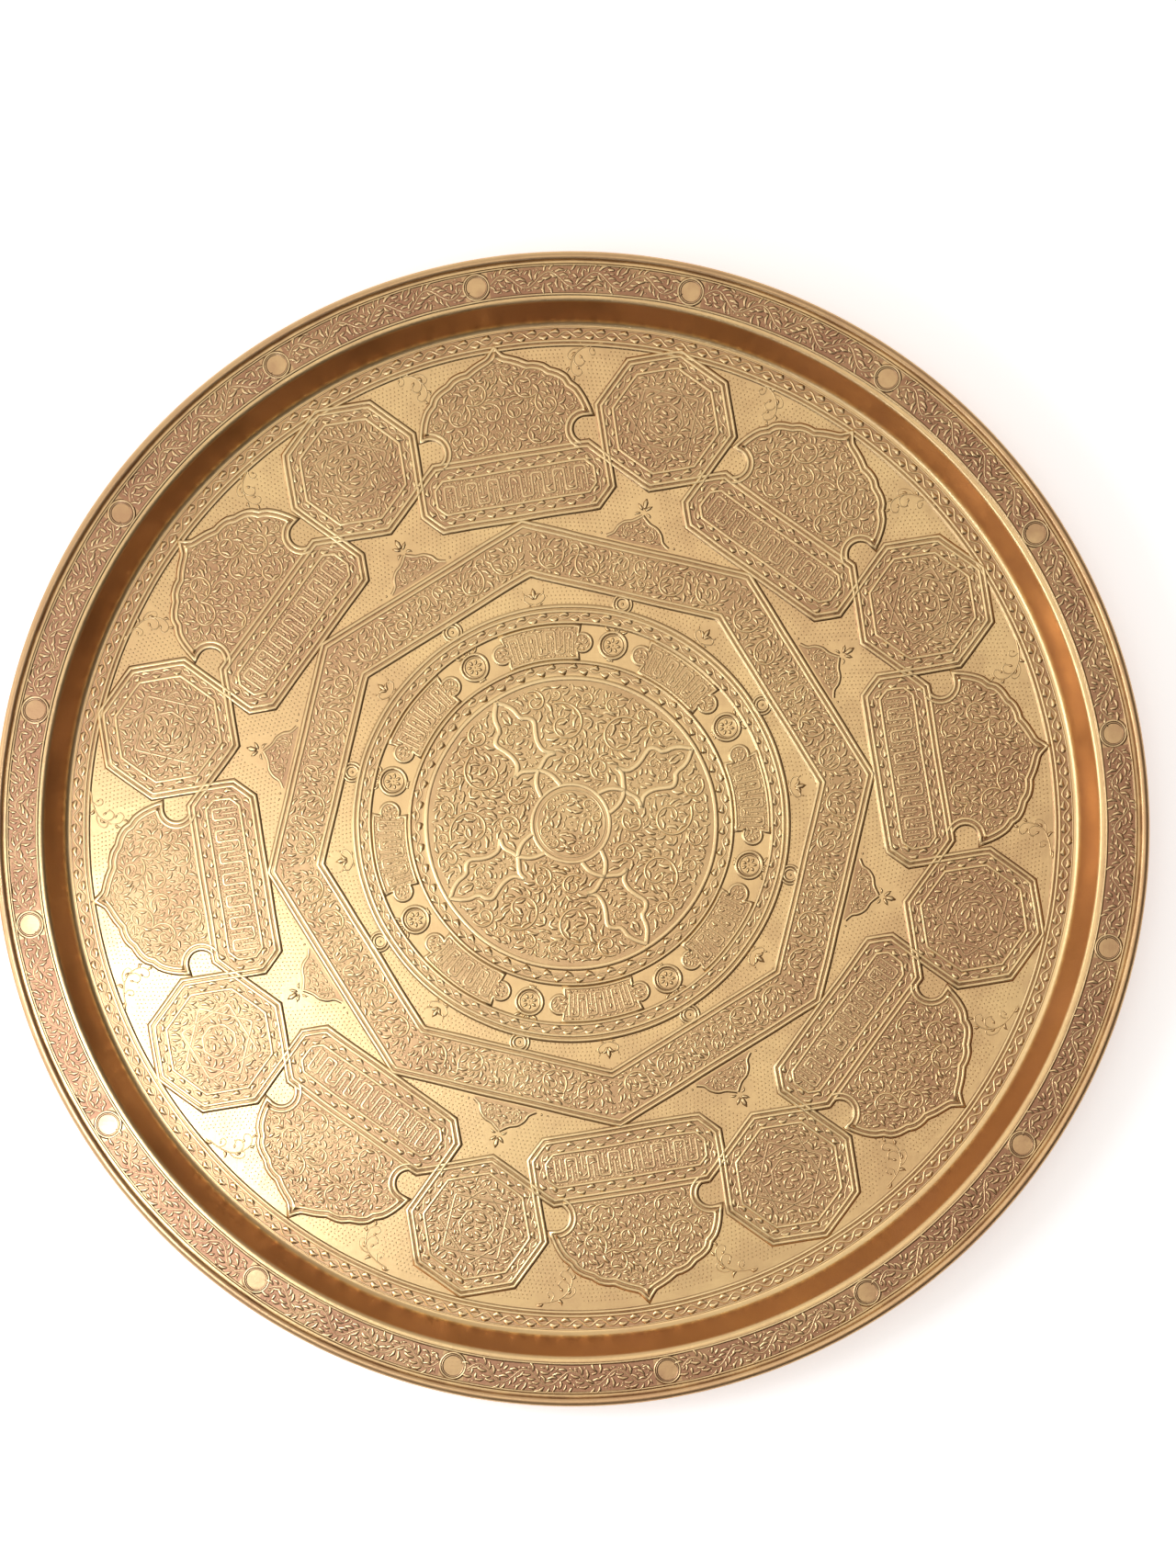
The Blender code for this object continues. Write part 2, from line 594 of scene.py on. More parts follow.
def octagon_panels():
    lines, scrolls, plates = Pattern(), Pattern(), Pattern()
    centre = OCTAGON_CENTRE
    lines.line(straight(octagon(OCTAGON_SIZE, centre), 4.0, True), DOUBLE, True)
    lines.line(straight(octagon(26.3, centre), 4.0, True), SINGLE, True)
    chain(lines, straight(octagon(29.4, centre), 2.0, True), 3.8, 5.4)
    knots = []
    for spin in (0.0, EIGHTH):
        corners = [bearing(20.5, spin + TAU * i / 4, centre) for i in range(4)]
        knots.append(straight(rounded(corners, 0.9, True), 2.5, True))
    knots.append(straight(octagon(8.6, centre), 2.5, True))
    for knot in knots:
        lines.line(knot, STRAP, True, width=0.38)
    plates.plate(octagon(33.0, centre))
    taken = [(knot + knot[:1], 0.7) for knot in knots]
    fill(scrolls, octagon(25.9, centre), 37, taken=taken, margin=0.5, bold=1.35)
    return lines, scrolls, plates


def gables():
    """Palmettes outside the sides of the octagonal band, with what stands on the same lines."""
    lines, scrolls = Pattern(), Pattern()
    side = through([(0, 165), (4.5, 161.5), (8.5, 160), (11.5, 157), (13.0, 153.5), (16.5, 151)], 1.5)
    lines.line(side, SINGLE, width=0.75)
    fill(scrolls, [(-1.0, 150)] + side[::-1] + [(-1.0, 165)], 5, (3.4, 2.6), margin=1.0)
    for turn, size in ((math.pi / 2, 7.0), (0.75, 5.6)):
        scrolls.leaf(0.2, 168.0 if size > 6 else 167.6, turn, size, PETAL, 0.8)
    scrolls.leaf(1.2, 166.4, -0.25, 3.6, LEAF_BACK)
    scrolls.leaf(19.5, 151.8, 0.0, 1.6, LUMP)
    scrolls.leaf(22.6, 151.6, 0.0, 1.1, LUMP)
    lines.both_sides()
    scrolls.both_sides()
    for radius in (4.8, 3.2):
        lines.line(ring(radius, (0.0, 117.6), 24), SINGLE, True, width=0.62)
    scrolls.leaf(0.0, 117.6, 0.0, 1.9, LUMP)
    plates = Pattern()
    plates.plate(whole(side) + [(-16.5, 150.0), (16.5, 150.0)])
    return lines, scrolls, plates


def sprigs():
    """Sprays by the border, and trefoils inside the corners of the octagonal band."""
    work = Pattern()
    stems = (
        (1.0, (57, 245.0), (51, 245.2), (45, 244.0), (41, 241.0), (40.6, 237.2), (43.0, 235.2),
         (45.4, 236.6), (44.8, 239.0)),
        (0.8, (45, 244.0), (41.6, 244.6), (38.4, 243.2), (37.2, 240.8), (38.6, 239.2), (40.0, 240.2)),
        (0.9, (41.2, 241.4), (38.4, 237.0), (38.4, 232.6), (41.2, 230.2), (43.6, 231.6), (42.8, 233.6)),
        (0.8, (51, 245.2), (49.0, 242.6), (49.6, 240.2), (51.8, 240.0), (52.0, 241.6)),
    )
    for width, *points in stems:
        work.line(through(points, 0.9), STEM, width=width, end_width=0.7 * width)
    for x, y, turn, size, shape in (
        (54.6, 245.2, 0.35, 4.2, LEAF_BACK), (47.6, 244.8, 2.5, 4.0, LEAF_BACK),
        (42.4, 242.4, 3.4, 3.4, LEAF), (44.9, 238.6, 2.0, 2.8, PETAL), (39.8, 240.2, 0.6, 2.0, PETAL),
        (38.3, 235.4, 3.7, 3.4, LEAF), (42.8, 233.4, 2.3, 2.6, PETAL), (51.8, 241.4, 1.9, 2.2, PETAL),
        (39.6, 230.8, 4.3, 3.0, LEAF_BACK),
    ):
        work.leaf(x, y, turn, size, shape, 1.2)
    curl = through([(0.4, 115.8), (3.0, 116.6), (5.4, 118.8), (4.6, 121.0), (3.2, 120.2)], 1.0)
    work.line(curl, STEM, width=0.9)
    work.leaf(0.2, 118.2, 1.05, 4.6, LEAF_BACK, 1.2)
    work.leaf(4.6, 120.8, 1.2, 2.4, PETAL)
    work.leaf(1.6, 116.2, -0.4, 2.6, LEAF)
    work.both_sides()
    work.leaf(0.0, 118.0, math.pi / 2, 7.4, PETAL, 0.9)
    return work


def band_panels():
    """One side of the octagonal band."""
    low, high = 122.8, 146.6
    scrolls, plates = Pattern(), Pattern()
    half = [(-2.2, low), (low * SLOPE + 1.7, low), (high * SLOPE + 1.7, high), (-2.2, high)]
    fill(scrolls, half, 47, (8.4, 6.8, 5.0, 3.6), margin=2.3, bold=1.3)
    plates.plate([(low * SLOPE, low), (high * SLOPE, high), (-high * SLOPE, high), (-low * SLOPE, low)])
    return scrolls.both_sides(), plates


def bent(radius):
    """Bends a straight strip, drawn along x at y = its distance from the middle, round the middle."""
    def change(x, y, turn):
        angle = -x / radius
        return -y * math.sin(angle), y * math.cos(angle), turn + angle
    return change


def ring_panels():
    """One of the eight parts of the ring round the medallion."""
    lines, scrolls, plates = Pattern(), Pattern(), Pattern()
    right = (
        straight([(0, 103.4), (19.4, 103.4)], 3.0)[:-1]
        + through([(19.4, 103.4), (19.0, 100.6), (18.6, 98.9)], 1.2)[:-1]
        + arc(4.7, math.radians(122), math.radians(-122), (21.4, 94.9), 1.2)
        + through([(18.6, 90.9), (19.0, 89.2), (19.4, 86.4)], 1.2)
        + straight([(19.4, 86.4), (0, 86.4)], 3.0)[1:]
    )
    outline = right[:-1] + flipped(right[1:])[::-1]
    lines.line(outline, SINGLE, True, width=0.8)
    strokes = ((96.0, 88.8), (93.8, 101.0))
    bars = running_key(lines, 16.4, 89.0, 100.8, strokes, 7, 0.38, 0.34, 0.7, 2.5)
    fill(scrolls, outline, 61, taken=[(bar, 0.65) for bar in bars], margin=0.8)
    plates.plate(outline)
    middle = math.radians(22.5) * RING_RADIUS
    flower = (middle, 95.6)
    lines.line(ring(6.9, flower, 30), SINGLE, True, width=0.75)
    lines.line(ring(5.3, flower, 26), SINGLE, True, width=0.4)
    for i in range(7):
        turn = TAU * i / 7
        scrolls.leaf(*spot(1.1, turn, flower), turn, 3.5, PETAL, 1.2)
    scrolls.leaf(*flower, 0.0, 1.2, LUMP)
    for base, way in ((102.6, 1.0), (88.6, -1.0)):
        for lean in (-0.9, 0.0, 0.9):
            scrolls.leaf(middle, base, way * math.pi / 2 + lean, 3.0 if lean else 2.2, PETAL)
        for off in (-1.0, 1.0):
            turn = way * math.pi / 2 - off * 1.3
            shape = LEAF if off * way > 0 else LEAF_BACK
            scrolls.leaf(middle + off * 2.4, base + 0.2 * way, turn, 4.2, shape)
    return [each.moved(bent(RING_RADIUS)) for each in (lines, scrolls, plates)]


def medallion():
    """A quarter of the middle: one strapwork palmette and the scrolls beside it."""
    lines, scrolls, plates = Pattern(), Pattern(), Pattern()
    edge = through([
        (0, 74.2), (3.5, 70), (5.5, 66), (6, 62), (6.8, 60), (9, 59), (11.4, 56.6), (11.3, 54),
        (9.5, 50.5), (7.8, 46), (7.5, 42), (8.4, 39), (12.5, 35.5),
    ], 1.6)
    foot = through([(12.5, 35.5), (8, 36.5), (3, 34), (0, 32.5), (-2.4, 30.3), (-5, 26), (-6, 20.2)], 1.6)
    lines.line(edge, STRAP, width=0.95)
    lines.line(foot, STRAP, width=0.95)
    lines.both_sides()
    slant = math.radians(45)
    lines.line(arc(20.4, slant, math.radians(135), step=1.6), STRAP, width=0.7)
    lines.line(arc(17.6, slant, math.radians(135), step=1.6), SINGLE, width=0.5)
    wedge = [(-1.1, -1.5), (-1.1, 73.9)] + [bearing(73.9, slant * i / 14) for i in range(1, 15)]
    wedge += [(73.9 * math.sin(slant) + 0.8, 73.9 * math.cos(slant) - 0.8), (1.2, -1.5)]
    chance = np.random.default_rng(71)
    ground = Ground(wedge, 1.2)
    for path, half_width in (
        (edge, 1.9), (foot, 1.9), (flipped(foot), 1.9), (arc(20.4, slant, 2 * slant), 1.5),
        (arc(17.6, slant, 2 * slant), 0.7),
    ):
        ground.take(path, half_width)
    x, y = bearing(52.0, math.radians(28.0))
    ground.room = np.minimum(ground.room, np.hypot(ground.x - x, ground.y - y) - 12.9)
    found = [(x, y, 12.2)] + ground.places((8.2, 6.4, 4.8, 3.6), chance)
    for i, (x, y, size) in enumerate(found):
        start = math.atan2(y, x) + (2.4 if i % 2 else 0.4)
        scroll(scrolls, ground, x, y, size, start, 1 if i % 2 else -1, chance, 1.6)
    scatter(scrolls, ground, chance, found, 1.5)
    scrolls.both_sides()
    plates.plate([(0.0, 0.0)] + [bearing(75.4, slant * (i - 12) / 12) for i in range(25)][::-1])
    return lines, scrolls, plates


def flange_panels():
    """One of the sixteen parts of the rim's band, with a plain roundel in its middle."""
    radius = FLANGE_RADIUS
    lines, scrolls, plates = Pattern(), Pattern(), Pattern()
    lines.line(ring(6.7, (0.0, radius), 34), SINGLE, True, width=0.62)
    lines.line(ring(5.7, (0.0, radius), 30), SINGLE, True, width=0.42)
    reach = math.radians(22.5) * radius
    low, high = 279.4, 291.8
    chance = np.random.default_rng(83)
    ground = Ground([(7.2, low), (reach - 7.2, low), (reach - 7.2, high), (7.2, high)], 0.35)
    for centre in (0.0, reach):
        ground.take(ring(3.6, (centre, radius), 20), 4.2)
    steps, waves = 84, 4.0
    stem = [
        (7.8 + (reach - 15.6) * i / steps, radius + 3.9 * math.sin(TAU * waves * i / steps))
        for i in range(steps + 1)
    ]
    lines.line(stem, STEM, width=0.8)
    ground.take(stem, 0.45)
    for i in range(2, steps - 1, 2):
        for side in (1, -1):
            turn = heading(stem, i) + side * chance.uniform(0.6, 1.0)
            size = chance.uniform(4.6, 7.0)
            foot = spot(0.5, turn, stem[i])
            if ground.leaf_fits(*foot, turn, size, 0.85, 0.72):
                scrolls.leaf(*foot, turn, size, LEAF_BACK if side > 0 else LEAF, 1.05)
    scatter(scrolls, ground, chance, (), 1.35)
    along = np.linspace(6.6, reach - 6.6, 24)
    back = np.linspace(reach - 6.6, 6.6, 24)
    plates.plate([(x, low - 0.6) for x in along] + [(x, high + 0.5) for x in back])
    return [each.moved(bent(radius)) for each in (lines, scrolls, plates)]


def hoop_ground(*widths):
    """One eighth of the ground under round borders."""
    plates = Pattern()
    for low, high in widths:
        first, last = math.pi / 2 - EIGHTH / 2, math.pi / 2 + EIGHTH / 2
        plates.plate(arc(high, first, last, step=5.0) + arc(low, last, first, step=5.0))
    return plates


def turned_about(points, angle):
    """Points of one axis's frame in the frame of the axis that lies angle further clockwise."""
    c, s = math.cos(angle), math.sin(angle)
    return [(x * c + y * s, -x * s + y * c) for x, y in points]


def punches():
    """Rows of small punched dots on the plain ground of one eighth of the floor."""
    work = Pattern()
    keep_off = [(whole(dome_side()), 2.7), (bar_outline(0.0), 2.7)]
    gable = through([(0, 177), (6, 172), (8.5, 161), (12.5, 158), (15.5, 153.5), (26, 150)], 2.0)
    low, high = 120.4, 149.2
    band = [(-low * SLOPE, low), (low * SLOPE, low), (high * SLOPE, high), (-high * SLOPE, high)]
    shift = OCTAGON_TURN - DOME_TURN
    for way in (-shift, EIGHTH - shift):
        for outline, margin in (
            (octagon(OCTAGON_SIZE, OCTAGON_CENTRE), 2.9), (whole(gable), 1.0),
            (ring(5.4, (0.0, 117.6), 20), 0.5), (band, 0.3),
        ):
            keep_off.append((turned_about(outline, way), margin))
    trefoil = [(-6.5, 115.4), (6.5, 115.4), (5.5, 121.5), (1.5, 127.0), (-1.5, 127.0), (-5.5, 121.5)]
    spray = [(34.5, 248.5), (61, 246), (60, 240.5), (44.5, 238.5), (45, 229.5), (36, 230.5), (36.4, 239.5)]
    keep_off += [(trefoil, 0.8), (flipped(spray), 0.2), (spray, 0.2)]
    spots = []
    row_pitch, dot_pitch, first_row, rows = 2.0, 2.25, 115.6, 68
    for row in range(rows):
        radius = first_row + row_pitch * row
        count = round(EIGHTH * radius / dot_pitch)
        for i in range(count):
            angle = -EIGHTH / 2 + EIGHTH * (i + (0.5 if row % 2 else 0.0)) / count
            spots.append(bearing(radius, angle))
    xs, ys = np.array(spots).T
    free = np.ones(len(xs), bool)
    for outline, margin in keep_off:
        free &= ~(inside(outline, xs, ys) | (away_from(outline + outline[:1], xs, ys) < margin))
    for x, y in zip(xs[free], ys[free]):
        work.leaf(float(x), float(y), 0.0, 1.0, DOT)
    return work


# --- Geometry Nodes -------------------------------------------------------------------------------

def new_tree(name, inputs):
    """A tree with its named inputs, and the node that gives them."""
    tree = bpy.data.node_groups.new(name, "GeometryNodeTree")
    tree.is_modifier = True
    tree.interface.new_socket(name="Geometry", in_out="OUTPUT", socket_type="NodeSocketGeometry")
    shared = ("Beaten Depth", "Float", BEATEN_DEPTH), ("Finish", "Material", None)
    for label, kind, value in (("Geometry", "Geometry", None), *inputs, *shared):
        made = tree.interface.new_socket(name=label, in_out="INPUT", socket_type="NodeSocket" + kind)
        if value is not None:
            made.default_value = value
    graph = Graph(tree)
    return graph, graph.node("NodeGroupInput")


def beaten(graph, depth):
    """How far hammering has lifted the sheet here."""
    place = graph.here()
    flat = graph.combine(X=graph.part("X", place), Y=graph.part("Y", place))
    return graph.combine(Z=graph.noise(flat, 17.0, 1.0) * depth)


def laid_flat(graph, shape):
    """A UV map seen from above; faces that look down go to a corner of their own."""
    corner, width, reach, border = 0.83, 0.74, 0.30, 0.002
    normal = graph.node("GeometryNodeInputNormal")
    down = graph.node(
        "GeometryNodeFieldOnDomain", {"Value": graph.part("Z", normal) < -0.5}, domain="FACE")
    scale = (1.0 - 0.82 * down) / width
    place = graph.here()
    across, up = (
        (graph.part(axis, place) + reach) * scale + border + corner * down for axis in ("X", "Y"))
    return graph.node("GeometryNodeStoreNamedAttribute", {
        "Geometry": shape, "Name": "OFBake", "Value": graph.combine(X=across, Y=up),
    }, data_type="FLOAT2", domain="CORNER")


def smooth(graph, shape, on=True):
    return graph.node("GeometryNodeSetShadeSmooth", {"Geometry": shape, "Shade Smooth": on})


def ended(graph, given, shape, shift):
    """Moves the work, lays its UV map and gives it its finish at the tree's end."""
    shape = graph.node("GeometryNodeSetPosition", {"Geometry": shape, "Offset": shift})
    shape = graph.node("GeometryNodeRealizeInstances", {"Geometry": laid_flat(graph, shape)})
    shape = graph.node("GeometryNodeSetMaterial", {"Geometry": shape, "Material": given.out("Finish")})
    graph.node("NodeGroupOutput", {"Geometry": shape})
    return graph.tree


def swept(graph, path, section, **more):
    """A section carried along a path, with its second axis upright."""
    path = graph.node("GeometryNodeSetCurveNormal", {"Curve": path}, mode="Z_UP")
    section = graph.node("GeometryNodeMeshToCurve", {"Mesh": section})
    return graph.node("GeometryNodeCurveToMesh", {"Curve": path, "Profile Curve": section, **more})


def helper(name, points, edges, faces=()):
    mesh = bpy.data.meshes.new(name)
    mesh.from_pydata(points, edges, faces)
    return bpy.data.objects.new(name, mesh)


def line_sections():
    """The cross-sections of the raised lines, in millimetres, seen along the line."""
    def dome(middle, half, top):
        left = [(-half, LINE_FOOT), (-0.86 * half, 0.5 * top), (-0.60 * half, top)]
        return [(middle + x, y) for x, y in left] + [(middle - x, y) for x, y in left[::-1]]

    def bed(half):
        return [(-half - 0.12, LINE_FOOT), (-half, 0.04), (half, 0.04), (half + 0.12, LINE_FOOT)]

    strap = [(-1.6, LINE_FOOT), (-1.42, 0.26), (-1.05, 0.50), (1.05, 0.50), (1.42, 0.26), (1.6, LINE_FOOT)]
    sections = {
        STEM: [[(-0.55, LINE_FOOT), (-0.28, 0.42), (0.28, 0.42), (0.55, LINE_FOOT)]],
        DOUBLE: [dome(-1.22, 0.98, 0.50), dome(1.22, 0.98, 0.50), bed(2.65)],
        SINGLE: [dome(0.0, 0.90, 0.48), bed(1.45)],
        STRAP: [strap, bed(2.0)],
    }
    made = {}
    for style, loops in sections.items():
        points, edges = [], []
        for loop in loops:
            first = len(points)
            points += [(x * MM, -y * MM, 0.0) for x, y in loop]
            edges += [(first + i, first + (i + 1) % len(loop)) for i in range(len(loop))]
        made[style] = helper("line_section_%d" % style, points, edges)
    return made


def leaf_shapes():
    """Small closed shapes one unit long and one high, with their feet below the metal's surface."""
    def pillow(name, outline, spine, flip=1):
        count = len(outline)
        points = [(x, y * flip * 1.2, PLATE_FOOT) for x, y in outline]
        points += [(x, y * flip, z) for x, y, z in spine]
        tops = []
        for i in range(count):
            (ax, ay), (bx, by) = outline[i], outline[(i + 1) % count]
            middle = ((ax + bx) / 2, (ay + by) / 2)
            tops.append(count + min(range(len(spine)), key=lambda k: math.dist(spine[k][:2], middle)))
        faces = []
        for i in range(count):
            j = (i + 1) % count
            faces.append((i, j, tops[i]))
            if tops[j] != tops[i]:
                faces.append((j, tops[j], tops[i]))
        faces.append(tuple(range(count - 1, -1, -1)))
        return helper(name, points, [], [face[::flip] for face in faces])

    comma = [
        (0.0, -0.02), (0.2, -0.18), (0.52, -0.25), (0.86, -0.08),
        (1.03, 0.36), (0.76, 0.2), (0.46, 0.16), (0.16, 0.13),
    ]
    spine = [(0.2, -0.02, 0.8), (0.5, -0.03, 1.0), (0.86, 0.12, 0.75)]
    oval = [(0.0, 0.0), (0.25, -0.19), (0.6, -0.21), (1.0, 0.0), (0.6, 0.21), (0.25, 0.19)]
    return [
        pillow("shape_0_leaf", comma, spine),
        pillow("shape_1_leaf_back", comma, spine, -1),
        pillow("shape_2_petal", oval, [(0.28, 0.0, 0.8), (0.64, 0.0, 1.0)]),
        pillow("shape_3_lump", ring(0.5, steps=6), [(0.0, 0.0, 0.95)]),
        pillow("shape_4_dot", ring(0.55, steps=5), [(0.0, 0.0, 0.55)]),
    ]


def raised_tree(sections, shapes):
    """Raises lines along the pattern's edges and leaves at its points, and repeats them round the tray."""
    graph, given = new_tree("raised ornament", (
        ("Copies", "Int", 8), ("First Turn", "Float", 0.0), ("Middle", "Vector", None),
        ("Leaf Rise", "Float", 0.46 * MM), ("Hand Wobble", "Float", 0.35 * MM),
    ))
    drawn = given.out("Geometry")
    parts = []
    for style, section in sections.items():
        path = graph.node("GeometryNodeMeshToCurve", {"Mesh": drawn, "Selection": graph.is_style(style)})
        shape = graph.node("GeometryNodeObjectInfo", {"Object": section}).out("Geometry")
        parts.append(swept(graph, path, shape, **{"Scale": graph.own("size"), "Fill Caps": True}))
    kind = graph.own("shape", "INT")
    spots = graph.node("GeometryNodeMeshToPoints", {"Mesh": drawn, "Selection": kind > -0.5})
    choice = graph.node("GeometryNodeCollectionInfo", {
        "Collection": shapes, "Separate Children": True, "Reset Children": True})
    size = graph.own("size") * MM
    parts.append(graph.node("GeometryNodeInstanceOnPoints", {
        "Points": spots, "Instance": choice, "Pick Instance": True, "Instance Index": kind,
        "Rotation": graph.combine(Z=graph.own("turn")),
        "Scale": graph.combine(X=size, Y=size * graph.own("slim"), Z=given.out("Leaf Rise"))}))
    round_work = graph.node("GeometryNodeJoinGeometry", {"Geometry": parts})
    round_work = graph.node("GeometryNodeRealizeInstances", {"Geometry": round_work})
    flat_work = graph.node("GeometryNodeSeparateGeometry", {
        "Geometry": drawn, "Selection": graph.is_style(PLATE)}, domain="FACE")
    panel = graph.node("GeometryNodeJoinGeometry", {
        "Geometry": [smooth(graph, round_work), smooth(graph, flat_work, False)]})
    copies = given.out("Copies")
    places = graph.node("GeometryNodePoints", {"Count": copies, "Position": given.out("Middle")})
    about = graph.combine(Z=graph.node("GeometryNodeInputIndex") * TAU / copies + given.out("First Turn"))
    work = graph.node("GeometryNodeInstanceOnPoints", {
        "Points": places, "Instance": panel, "Rotation": about})
    work = graph.node("GeometryNodeRealizeInstances", {"Geometry": work})
    here = graph.here()
    stands = graph.part("Z", graph.vector("SUBTRACT", here, given.out("Middle"))) / MM
    work = graph.node("GeometryNodeStoreNamedAttribute", {
        "Geometry": work, "Name": "stands", "Value": stands}, data_type="FLOAT", domain="POINT")
    sway = graph.vector("SUBTRACT", graph.noise(here, 38.0, 0.0).out("Color"), (0.5, 0.5, 0.5))
    wobble = given.out("Hand Wobble") * 2.0
    sway = graph.vector("MULTIPLY", sway, graph.combine(X=wobble, Y=wobble))
    shift = graph.vector("ADD", sway, beaten(graph, given.out("Beaten Depth")))
    return ended(graph, given, work, shift)


def turned_tree():
    """Turns the sheet's section round the middle, and lets its edge wander a little in the roll."""
    graph, given = new_tree("turned sheet", (
        ("Turn Steps", "Int", 360), ("Path Radius", "Float", PATH_RADIUS),
        ("Edge Wander", "Float", 0.7 * MM),
    ))
    path = graph.node("GeometryNodeCurvePrimitiveCircle", {
        "Resolution": given.out("Turn Steps"), "Radius": given.out("Path Radius")}, mode="RADIUS")
    shape = swept(graph, path, given.out("Geometry"))
    shape = graph.node("GeometryNodeMergeByDistance", {"Geometry": shape, "Distance": 0.01 * MM})
    away = graph.vector("NORMALIZE", graph.vector("MULTIPLY", graph.here(), (1.0, 1.0, 0.0)))
    sway = (graph.noise(away, 9.0, 2.0) - 0.5) * given.out("Edge Wander") * graph.own("loose")
    out = graph.vector("SCALE", away, Scale=sway)
    shift = graph.vector("ADD", out, beaten(graph, given.out("Beaten Depth")))
    return ended(graph, given, smooth(graph, shape), shift)


def finished(name, mesh, tree, settings):
    """Runs a tree on a mesh, keeps the result as a plain mesh and hands the piece to the frame."""
    piece = bpy.data.objects.new(name, mesh)
    bpy.context.scene.collection.objects.link(piece)
    modifier = piece.modifiers.new("work", "NODES")
    modifier.node_group = tree
    for item in tree.interface.items_tree:
        if item.in_out == "INPUT" and item.name in settings:
            modifier[item.identifier] = settings[item.name]
    made = bpy.data.meshes.new_from_object(piece.evaluated_get(bpy.context.evaluated_depsgraph_get()))
    piece.modifiers.clear()
    piece.data = made
    made.name = name
    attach(piece, "root")
    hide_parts("tray_sheet")


def section_points():
    """The sheet's section from the middle of the top outwards, back round the roll and underneath."""
    c, s = math.cos(WALL_ANGLE), math.sin(WALL_ANGLE)
    under_low = LOWER_BEND + SHEET
    over_high = UPPER_BEND + SHEET
    wall = (FLANGE_TOP - FLOOR_TOP - (LOWER_BEND + over_high) * (1 - c)) / s
    floor_end = FLANGE_START - (LOWER_BEND + over_high) * s - wall * c
    outside = ROLL_INSIDE + SHEET
    roll_centre = (RIM - outside, FLANGE_TOP + ROLL_INSIDE)
    down, up = -math.pi / 2, math.pi / 2
    edge_turn = math.pi + math.asin((ROLL_INSIDE - SEAM_GAP) / outside)
    turns = list(np.linspace(down, edge_turn, 30))

    def low_bend(radius, first, last):
        return bend((floor_end, FLOOR_TOP + LOWER_BEND), radius, first, last, 8)

    def high_bend(radius, first, last, steps):
        return bend((FLANGE_START, FLANGE_TOP - over_high), radius, first, last, steps)

    def bend(centre, radius, first, last, steps):
        return [(*spot(radius, first + (last - first) * i / steps, centre), 0.0) for i in range(steps + 1)]

    def roll(radius):
        return [
            (*spot(radius, turn, roll_centre), max(0.0, (i - 14) / 15)) for i, turn in enumerate(turns)
        ]

    def run(first, last, steps, height):
        return [(r, height, 0.0) for r in np.linspace(first, last, steps)]

    points = run(0, floor_end, 26, 0.0)[:-1]
    points += low_bend(under_low, down, down + WALL_ANGLE)
    points += high_bend(UPPER_BEND, up + WALL_ANGLE, up, 6)
    points += run(FLANGE_START, roll_centre[0], 6, FLANGE_TOP - SHEET)[1:-1]
    points += roll(outside)
    for radius in (outside - 0.12, ROLL_INSIDE + 0.12):
        points.append((*spot(radius, turns[-1] + 0.035, roll_centre), 1.0))
    points += roll(ROLL_INSIDE)[::-1]
    points += run(roll_centre[0], FLANGE_START, 8, FLANGE_TOP)[1:-1]
    points += high_bend(over_high, up, up + WALL_ANGLE, 8)
    points += low_bend(LOWER_BEND, down + WALL_ANGLE, down)
    points += run(floor_end, 0, 46, FLOOR_TOP)[1:]
    return points[::-1]


def turned_section():
    """The section as a closed mesh, as the turning path wants it: x from the path, y downwards."""
    points = section_points()
    count = len(points)
    mesh = bpy.data.meshes.new("sheet_section")
    mesh.from_pydata(
        [(r * MM - PATH_RADIUS, -z * MM, 0.0) for r, z, loose in points],
        [(i, (i + 1) % count) for i in range(count)], [],
    )
    mesh.attributes.new("loose", "FLOAT", "POINT").data.foreach_set("value", [p[2] for p in points])
    return mesh


# --- finishes -------------------------------------------------------------------------------------

GOLD = (0.85, 0.625, 0.305, 1.0)
WARM_GOLD = (0.84, 0.56, 0.27, 1.0)
# The lighter gold for the tops of raised work: partly real rubbing, partly a painted highlight.
RUBBED_AND_HIGHLIGHT = (0.95, 0.75, 0.42, 1.0)
PATINA = (0.54, 0.295, 0.172, 1.0)
# Painted shade: the dark brown put on the upward face of the tray's wall.
WALL_PAINTED_SHADE = (0.41, 0.172, 0.079, 1.0)
# The darkest brown: grime in hollows and in the seam, and painted shade at the feet of raised work.
CREVICE_DIRT_AND_SHADE = (0.21, 0.105, 0.05, 1.0)

# Rings on the tray, in metres from its middle: start, full, fade and end.
# The wall ring holds the painted shade on the wall.
WALL_SHADE_RING = (0.2648, 0.2665, 0.2735, 0.2752)
SEAM_RING = (0.2948, 0.2952, 0.2957, 0.2963)
FLANGE_RING = (0.2775, 0.2795, 0.2915, 0.2935)


def new_material(name):
    material = bpy.data.materials.new(name)
    material.use_nodes = True
    return material, material.node_tree.nodes["Principled BSDF"].inputs


